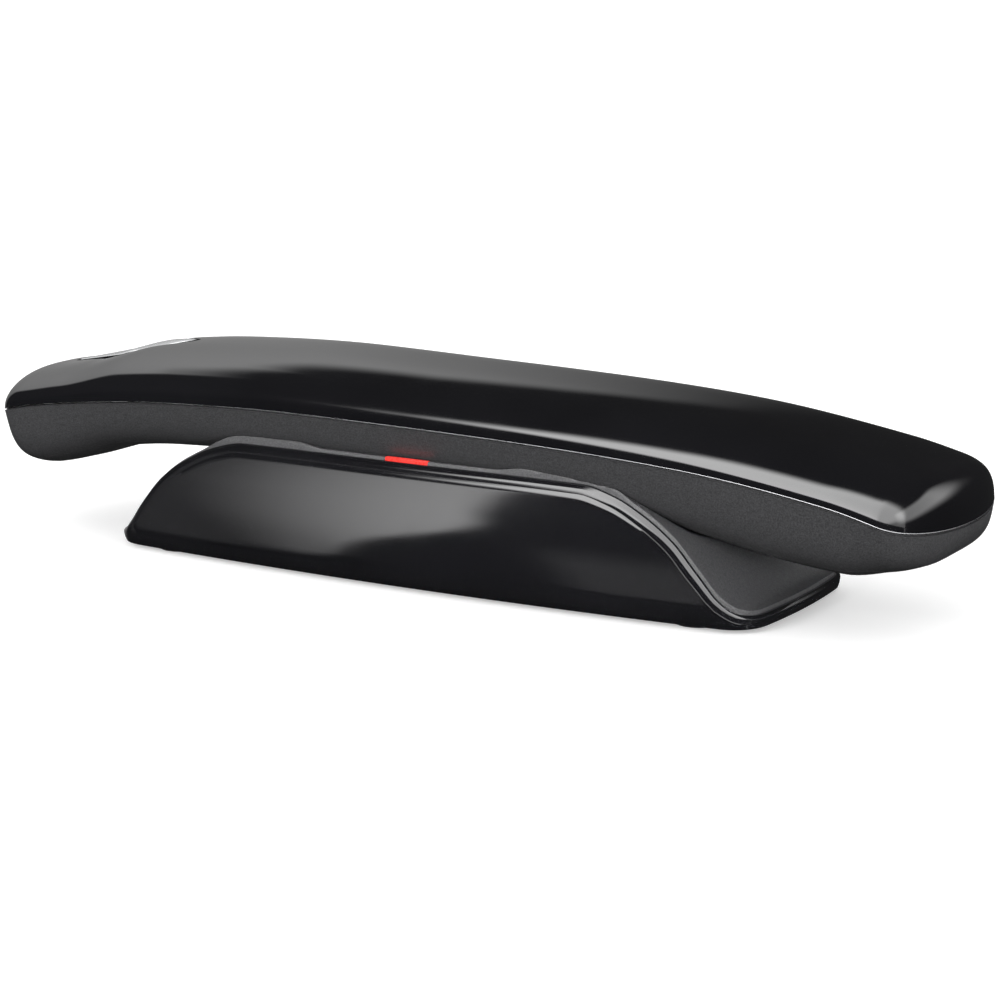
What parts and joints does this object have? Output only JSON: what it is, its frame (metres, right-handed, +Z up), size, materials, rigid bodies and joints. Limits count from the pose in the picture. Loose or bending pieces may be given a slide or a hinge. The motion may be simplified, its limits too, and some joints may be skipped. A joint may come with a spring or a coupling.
{
  "type": "cordless telephone with charging base",
  "caption": "Long curved cordless handset lying face down across a low arched charging base with a glossy shell, a matte cradle and a red light bar.",
  "frame": {"origin": "on the table, under the middle of the object", "axes": "+X along the handset towards the mouthpiece, -Y the front of the base with the light bar, +Z up"},
  "size_m": [0.2196, 0.058, 0.0432],
  "materials": {
    "gloss_black": "polished",
    "matte_black": "fine texture",
    "silver_trim": "satin",
    "cap_grey": "polished",
    "window_smoke": "clear",
    "display_grey": "flat",
    "key_black": "satin",
    "mat_rubber": "matte",
    "board_green": "solder mask",
    "shield_steel": "tinned",
    "contact_brass": "plated",
    "speaker_metal": "satin",
    "cell_wrap": "printed sleeve without text",
    "inner_plastic": "moulded",
    "foot_rubber": "matte",
    "lamp_red": "lit",
    "ballast_steel": "plain",
    "screw_steel": "zinc"
  },
  "bodies": {
    "base": {"base_shell": "gloss_black", "cradle_cover": "matte_black", "bottom_cover": "matte_black", "rubber_feet": "foot_rubber", "light_bar": "lamp_red", "base_circuit_board": "board_green", "base_screws": "screw_steel", "base_shield_can": "shield_steel", "base_antennas": "contact_brass", "ballast_plate": "ballast_steel", "power_socket": "inner_plastic", "line_socket": "inner_plastic", "page_switch": "inner_plastic", "contact_holder": "inner_plastic", "charge_spring_front": "screw_steel", "charge_spring_rear": "screw_steel"},
    "handset": {"handset_back_cover": "gloss_black", "ringer_cap": "cap_grey", "trim_band": "silver_trim", "handset_front_housing": "matte_black", "face_plate": "matte_black", "display_window": "window_smoke", "charge_pads": "contact_brass", "keypad_mat": "mat_rubber", "handset_circuit_board": "board_green", "handset_screws": "screw_steel", "handset_shield_can": "shield_steel", "handset_antenna": "contact_brass", "display_module": "display_grey", "earpiece_speaker": "speaker_metal", "earpiece_mesh": "speaker_metal", "microphone": "speaker_metal", "ringer_speaker": "speaker_metal", "battery_cells": "cell_wrap", "battery_holder": "inner_plastic", "battery_contacts": "contact_brass"},
    "key_soft_left": {"key_soft_left": "key_black"},
    "key_soft_right": {"key_soft_right": "key_black"},
    "key_talk": {"key_talk": "key_black"},
    "key_end": {"key_end": "key_black"},
    "key_nav": {"key_nav": "key_black"},
    "key_star": {"key_star": "key_black"},
    "key_0": {"key_0": "key_black"},
    "key_hash": {"key_hash": "key_black"},
    "key_1": {"key_1": "key_black"},
    "key_2": {"key_2": "key_black"},
    "key_3": {"key_3": "key_black"},
    "key_4": {"key_4": "key_black"},
    "key_5": {"key_5": "key_black"},
    "key_6": {"key_6": "key_black"},
    "key_7": {"key_7": "key_black"},
    "key_8": {"key_8": "key_black"},
    "key_9": {"key_9": "key_black"},
    "page_button": {"page_button": "matte_black"},
    "charge_pin_front": {"charge_pin_front": "contact_brass"},
    "charge_pin_rear": {"charge_pin_rear": "contact_brass"}
  },
  "joints": [
    {"name": "handset_lift", "type": "slide", "parent": "base", "child": "handset", "axis": [0, 0, 1], "range_m": [0, 0.12]},
    {"name": "key_soft_left_press", "type": "slide", "parent": "handset", "child": "key_soft_left", "axis": [0, 0, 1], "range_m": [0, 0.0005], "stiffness_N_per_m": 400},
    {"name": "key_soft_right_press", "type": "slide", "parent": "handset", "child": "key_soft_right", "axis": [0, 0, 1], "range_m": [0, 0.0005], "stiffness_N_per_m": 400},
    {"name": "key_talk_press", "type": "slide", "parent": "handset", "child": "key_talk", "axis": [0, 0, 1], "range_m": [0, 0.0005], "stiffness_N_per_m": 400},
    {"name": "key_end_press", "type": "slide", "parent": "handset", "child": "key_end", "axis": [0, 0, 1], "range_m": [0, 0.0005], "stiffness_N_per_m": 400},
    {"name": "key_nav_press", "type": "slide", "parent": "handset", "child": "key_nav", "axis": [0, 0, 1], "range_m": [0, 0.0005], "stiffness_N_per_m": 400},
    {"name": "key_star_press", "type": "slide", "parent": "handset", "child": "key_star", "axis": [0, 0, 1], "range_m": [0, 0.0005], "stiffness_N_per_m": 400},
    {"name": "key_0_press", "type": "slide", "parent": "handset", "child": "key_0", "axis": [0, 0, 1], "range_m": [0, 0.0005], "stiffness_N_per_m": 400},
    {"name": "key_hash_press", "type": "slide", "parent": "handset", "child": "key_hash", "axis": [0, 0, 1], "range_m": [0, 0.0005], "stiffness_N_per_m": 400},
    {"name": "key_1_press", "type": "slide", "parent": "handset", "child": "key_1", "axis": [0, 0, 1], "range_m": [0, 0.0005], "stiffness_N_per_m": 400},
    {"name": "key_2_press", "type": "slide", "parent": "handset", "child": "key_2", "axis": [0, 0, 1], "range_m": [0, 0.0005], "stiffness_N_per_m": 400},
    {"name": "key_3_press", "type": "slide", "parent": "handset", "child": "key_3", "axis": [0, 0, 1], "range_m": [0, 0.0005], "stiffness_N_per_m": 400},
    {"name": "key_4_press", "type": "slide", "parent": "handset", "child": "key_4", "axis": [0, 0, 1], "range_m": [0, 0.0005], "stiffness_N_per_m": 400},
    {"name": "key_5_press", "type": "slide", "parent": "handset", "child": "key_5", "axis": [0, 0, 1], "range_m": [0, 0.0005], "stiffness_N_per_m": 400},
    {"name": "key_6_press", "type": "slide", "parent": "handset", "child": "key_6", "axis": [0, 0, 1], "range_m": [0, 0.0005], "stiffness_N_per_m": 400},
    {"name": "key_7_press", "type": "slide", "parent": "handset", "child": "key_7", "axis": [0, 0, 1], "range_m": [0, 0.0005], "stiffness_N_per_m": 400},
    {"name": "key_8_press", "type": "slide", "parent": "handset", "child": "key_8", "axis": [0, 0, 1], "range_m": [0, 0.0005], "stiffness_N_per_m": 400},
    {"name": "key_9_press", "type": "slide", "parent": "handset", "child": "key_9", "axis": [0, 0, 1], "range_m": [0, 0.0005], "stiffness_N_per_m": 400},
    {"name": "page_button_press", "type": "slide", "parent": "base", "child": "page_button", "axis": [0, -1, 0], "range_m": [0, 0.0008], "stiffness_N_per_m": 400},
    {"name": "charge_pin_front_press", "type": "slide", "parent": "base", "child": "charge_pin_front", "axis": [0, 0, 1], "range_m": [-0.0008, 0], "stiffness_N_per_m": 300, "deforming": ["charge_spring_front"]},
    {"name": "charge_pin_rear_press", "type": "slide", "parent": "base", "child": "charge_pin_rear", "axis": [0, 0, 1], "range_m": [-0.0008, 0], "stiffness_N_per_m": 300, "deforming": ["charge_spring_rear"]}
  ]
}
